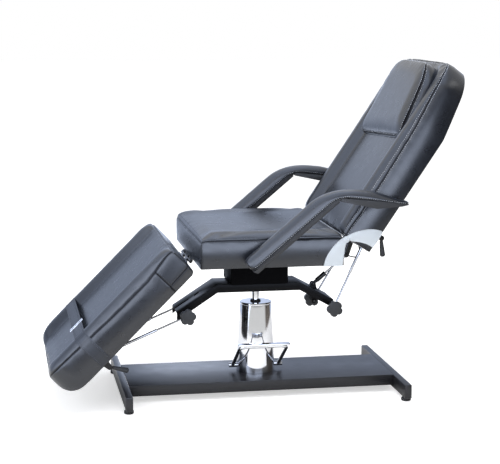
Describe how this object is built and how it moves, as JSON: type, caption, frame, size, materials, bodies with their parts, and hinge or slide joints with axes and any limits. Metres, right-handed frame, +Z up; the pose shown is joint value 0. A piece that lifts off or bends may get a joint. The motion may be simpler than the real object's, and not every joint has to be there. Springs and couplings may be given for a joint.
{
  "type": "hydraulic massage bed",
  "caption": "Padded treatment bed on a foot-pumped hydraulic column, with a reclining back, drop-down leg rest, jointed armrests, head pillow and steel base.",
  "frame": {"origin": "floor level under the middle of the bounding box", "axes": "+X from the foot end to the head end, +Y to the far side of the picture, +Z up"},
  "size_m": [1.4394, 0.83, 1.1666],
  "materials": {
    "black_enamel": "gloss black enamel",
    "foot_rubber": "matt black",
    "bright_chrome": "polished",
    "steel_rod": "bright drawn rod",
    "knob_plastic": "matt black",
    "black_board": "black-faced board",
    "slate_vinyl": "semi-gloss black upholstery vinyl",
    "white_vinyl": "white upholstery vinyl",
    "strap_webbing": "dark woven webbing"
  },
  "bodies": {
    "base": {"base_plate": "black_enamel", "rail_foot": "black_enamel", "rail_head": "black_enamel", "foot_1": "foot_rubber", "foot_2": "foot_rubber", "foot_3": "foot_rubber", "foot_4": "foot_rubber", "pump_cover": "bright_chrome", "pump_cylinder": "black_enamel", "wiper_ring": "knob_plastic"},
    "pedal": {"pedal": "bright_chrome"},
    "piston": {"piston": "bright_chrome"},
    "seat": {"beam": "black_enamel", "riser": "black_enamel", "seat_board": "black_board", "seat_cushion": "slate_vinyl", "seat_panel_near": "white_vinyl", "seat_panel_far": "white_vinyl", "seat_hinge_near": "black_enamel", "seat_hinge_far": "black_enamel", "seat_leaf": "black_enamel"},
    "back": {"back_board": "black_board", "back_cushion": "slate_vinyl", "pillow": "slate_vinyl", "back_panel_near": "white_vinyl", "back_panel_far": "white_vinyl", "back_hinge_near": "black_enamel", "back_hinge_far": "black_enamel", "back_bracket": "black_enamel", "release_cable": "knob_plastic"},
    "leg": {"leg_board": "black_board", "leg_cushion": "slate_vinyl", "leg_leaf": "black_enamel", "leg_strap": "strap_webbing", "leg_buckle": "bright_chrome", "leg_bracket": "black_enamel"},
    "back_lever": {"back_lever": "knob_plastic"},
    "leg_lever": {"leg_lever": "knob_plastic"},
    "lock_housing": {"lock_housing": "black_enamel"},
    "lock_rod": {"lock_rod": "steel_rod"},
    "back_rod_near": {"back_rod_near": "steel_rod"},
    "back_tube_near": {"back_tube_near": "steel_rod"},
    "leg_rod_near": {"leg_rod_near": "steel_rod"},
    "leg_tube_near": {"leg_tube_near": "steel_rod"},
    "back_rod_far": {"back_rod_far": "steel_rod"},
    "back_tube_far": {"back_tube_far": "steel_rod"},
    "leg_rod_far": {"leg_rod_far": "steel_rod"},
    "leg_tube_far": {"leg_tube_far": "steel_rod"},
    "arm_lower_near": {"arm_lower_board_near": "black_board", "arm_lower_pad_near": "slate_vinyl"},
    "arm_upper_near": {"arm_upper_board_near": "black_board", "arm_upper_pad_near": "slate_vinyl"},
    "arm_lower_far": {"arm_lower_board_far": "black_board", "arm_lower_pad_far": "slate_vinyl"},
    "arm_upper_far": {"arm_upper_board_far": "black_board", "arm_upper_pad_far": "slate_vinyl"},
    "knob_back_near": {"knob_back_near": "knob_plastic"},
    "knob_back_far": {"knob_back_far": "knob_plastic"},
    "knob_leg_near": {"knob_leg_near": "knob_plastic"}
  },
  "joints": [
    {"name": "pedal_press", "type": "hinge", "parent": "base", "child": "pedal", "pos_m": [0.03679, 0, 0.0828], "axis": [1, 0, 0], "range_deg": [0, 20], "stiffness_Nm_per_rad": 12, "springref_deg": -34.38},
    {"name": "seat_lift", "type": "slide", "parent": "base", "child": "piston", "axis": [0, 0, 1], "range_m": [-0.03, 0.12]},
    {"name": "seat_swivel", "type": "hinge", "parent": "piston", "child": "seat", "pos_m": [0.03679, 0, 0.35], "axis": [0, 0, 1], "continuous": true},
    {"name": "back_recline", "type": "hinge", "parent": "seat", "child": "back", "pos_m": [0.28979, 0, 0.5872], "axis": [0, 1, 0], "range_deg": [0, 56]},
    {"name": "leg_lift", "type": "hinge", "parent": "seat", "child": "leg", "pos_m": [-0.21321, 0, 0.4867], "axis": [0, 1, 0], "range_deg": [0, 45]},
    {"name": "back_release", "type": "hinge", "parent": "back", "child": "back_lever", "pos_m": [0.41723, 0, 0.58568], "axis": [0, 1, 0], "range_deg": [0, 14], "stiffness_Nm_per_rad": 1.2, "springref_deg": -17.19},
    {"name": "leg_release", "type": "hinge", "parent": "leg", "child": "leg_lever", "pos_m": [-0.51444, 0, 0.1685], "axis": [0, -1, 0], "range_deg": [0, 14], "stiffness_Nm_per_rad": 1.2, "springref_deg": -17.19},
    {"name": "back_strut_near_swing", "type": "hinge", "parent": "seat", "child": "back_rod_near", "pos_m": [0.30579, 0, 0.29976], "axis": [0, 1, 0], "range_deg": [-10.54, 0.5]},
    {"name": "back_strut_near_slide", "type": "slide", "parent": "back_rod_near", "child": "back_tube_near", "axis": [0.418, 0, 0.9084], "range_m": [-0.12632, 0.001]},
    {"name": "leg_strut_near_swing", "type": "hinge", "parent": "seat", "child": "leg_rod_near", "pos_m": [-0.22421, 0, 0.28977], "axis": [0, 1, 0], "range_deg": [-0.5, 46.59]},
    {"name": "leg_strut_near_slide", "type": "slide", "parent": "leg_rod_near", "child": "leg_tube_near", "axis": [-0.9227, 0, -0.3855], "range_m": [-0.001, 0.15179]},
    {"name": "back_strut_far_swing", "type": "hinge", "parent": "seat", "child": "back_rod_far", "pos_m": [0.26779, 0, 0.29629], "axis": [0, 1, 0], "range_deg": [-5.28, 0.5]},
    {"name": "back_strut_far_slide", "type": "slide", "parent": "back_rod_far", "child": "back_tube_far", "axis": [0.512, 0, 0.859], "range_m": [-0.13057, 0.001]},
    {"name": "leg_strut_far_swing", "type": "hinge", "parent": "seat", "child": "leg_rod_far", "pos_m": [-0.22421, 0, 0.28977], "axis": [0, 1, 0], "range_deg": [-0.5, 46.59]},
    {"name": "leg_strut_far_slide", "type": "slide", "parent": "leg_rod_far", "child": "leg_tube_far", "axis": [-0.9227, 0, -0.3855], "range_m": [-0.001, 0.15179]},
    {"name": "lock_swing", "type": "hinge", "parent": "seat", "child": "lock_housing", "pos_m": [0.24779, 0, 0.3731], "axis": [0, 1, 0], "range_deg": [-54.19, 0.5]},
    {"name": "lock_slide", "type": "slide", "parent": "lock_housing", "child": "lock_rod", "axis": [0.7673, 0, 0.6413], "range_m": [-0.076, 0.001]},
    {"name": "arm_swing_near", "type": "hinge", "parent": "seat", "child": "arm_lower_near", "pos_m": [-0.02321, 0, 0.5062], "axis": [0, 1, 0], "range_deg": [-0.5, 20.16]},
    {"name": "arm_elbow_near", "type": "hinge", "parent": "arm_lower_near", "child": "arm_upper_near", "pos_m": [0.2488, 0, 0.73525], "axis": [0, 1, 0], "range_deg": [-0.5, 6.52]},
    {"name": "arm_swing_far", "type": "hinge", "parent": "seat", "child": "arm_lower_far", "pos_m": [-0.02321, 0, 0.5062], "axis": [0, 1, 0], "range_deg": [-0.5, 20.16]},
    {"name": "arm_elbow_far", "type": "hinge", "parent": "arm_lower_far", "child": "arm_upper_far", "pos_m": [0.2488, 0, 0.73525], "axis": [0, 1, 0], "range_deg": [-0.5, 6.52]},
    {"name": "knob_turn_back_near", "type": "hinge", "parent": "seat", "child": "knob_back_near", "pos_m": [0.30579, 0, 0.29976], "axis": [0, -1, 0], "continuous": true},
    {"name": "knob_turn_back_far", "type": "hinge", "parent": "seat", "child": "knob_back_far", "pos_m": [0.26779, 0, 0.29629], "axis": [0, 1, 0], "continuous": true},
    {"name": "knob_turn_leg_near", "type": "hinge", "parent": "seat", "child": "knob_leg_near", "pos_m": [-0.22421, 0, 0.28977], "axis": [0, -1, 0], "continuous": true}
  ],
  "couplings": [
    {"joint": "back_strut_near_swing", "follows": "back_recline", "ratio": -0.17931},
    {"joint": "back_strut_near_slide", "follows": "back_recline", "m_per_rad": -0.12822},
    {"joint": "leg_strut_near_swing", "follows": "leg_lift", "ratio": 1.0243},
    {"joint": "leg_strut_near_slide", "follows": "leg_lift", "m_per_rad": 0.19199},
    {"joint": "back_strut_far_swing", "follows": "back_recline", "ratio": -0.08536},
    {"joint": "back_strut_far_slide", "follows": "back_recline", "m_per_rad": -0.13257},
    {"joint": "leg_strut_far_swing", "follows": "leg_lift", "ratio": 1.0243},
    {"joint": "leg_strut_far_slide", "follows": "leg_lift", "m_per_rad": 0.19199},
    {"joint": "lock_swing", "follows": "back_recline", "ratio": -0.95874},
    {"joint": "lock_slide", "follows": "back_recline", "m_per_rad": -0.07674},
    {"joint": "arm_swing_near", "follows": "back_recline", "ratio": 0.35111},
    {"joint": "arm_elbow_near", "follows": "back_recline", "ratio": 0.10751},
    {"joint": "arm_swing_far", "follows": "back_recline", "ratio": 0.35111},
    {"joint": "arm_elbow_far", "follows": "back_recline", "ratio": 0.10751}
  ]
}
